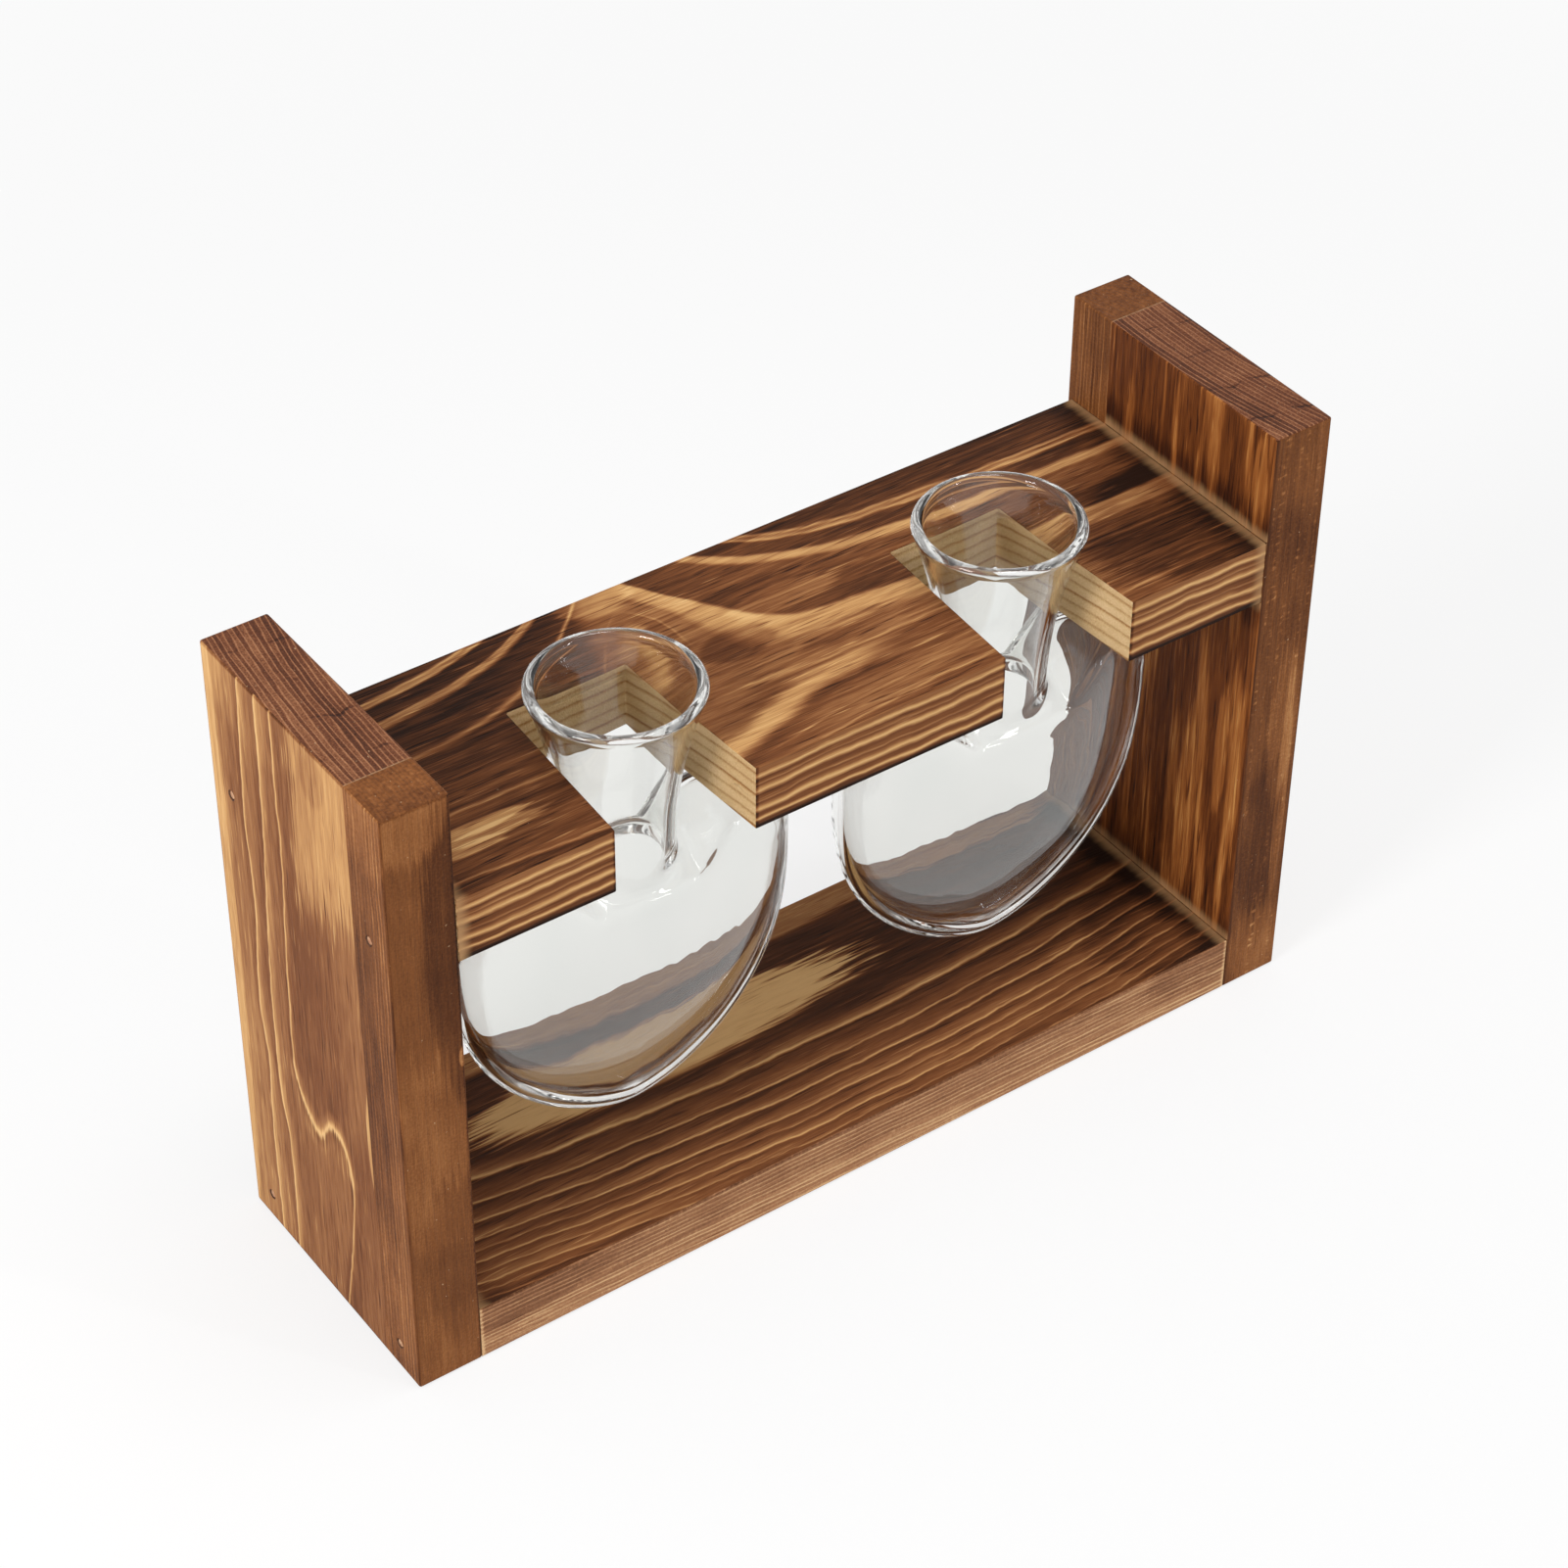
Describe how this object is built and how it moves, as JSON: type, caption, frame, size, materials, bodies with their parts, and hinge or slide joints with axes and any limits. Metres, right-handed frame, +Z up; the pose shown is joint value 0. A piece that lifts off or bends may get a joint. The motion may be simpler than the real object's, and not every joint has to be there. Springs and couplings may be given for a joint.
{
  "type": "hanging glass vases in a wooden frame",
  "caption": "Clear flat heart-shaped glass vases hang by their flared rims in the notched shelf of a torched wooden table frame and hold cut stems in water.",
  "frame": {"origin": "under the middle of the frame, on the surface it stands on", "axes": "+X along the frame from its left end to its right end, +Y from the open front of the notches to the back, +Z up"},
  "size_m": [0.228, 0.0666, 0.1505],
  "materials": {
    "torched_board": "softwood scorched with a torch and brushed, with light raised grain lines",
    "torched_strip": "fine straight-grained softwood, lightly scorched",
    "dark_torched_board": "softwood scorched dark between tan streaks; the notch walls are cut fresh and pale",
    "clear_glass": "clear hand-blown glass with a thick rounded lip",
    "bright_steel": "plain steel brads, heads set just below the wood"
  },
  "bodies": {
    "frame": {"left_end_board": "torched_board", "left_end_strip": "torched_strip", "right_end_board": "torched_board", "right_end_strip": "torched_strip", "base_board": "dark_torched_board", "shelf_board": "dark_torched_board", "left_shelf_front_brad": "bright_steel", "left_shelf_back_brad": "bright_steel", "left_base_front_brad": "bright_steel", "left_base_back_brad": "bright_steel", "right_shelf_front_brad": "bright_steel", "right_shelf_back_brad": "bright_steel", "right_base_front_brad": "bright_steel", "right_base_back_brad": "bright_steel"},
    "left_vase": {"left_vase": "clear_glass"},
    "right_vase": {"right_vase": "clear_glass"}
  },
  "joints": [
    {"name": "left_vase_slide", "type": "slide", "parent": "frame", "child": "left_vase", "axis": [0, -1, 0], "range_m": [0, 0.055]},
    {"name": "right_vase_slide", "type": "slide", "parent": "frame", "child": "right_vase", "axis": [0, -1, 0], "range_m": [0, 0.055]}
  ]
}
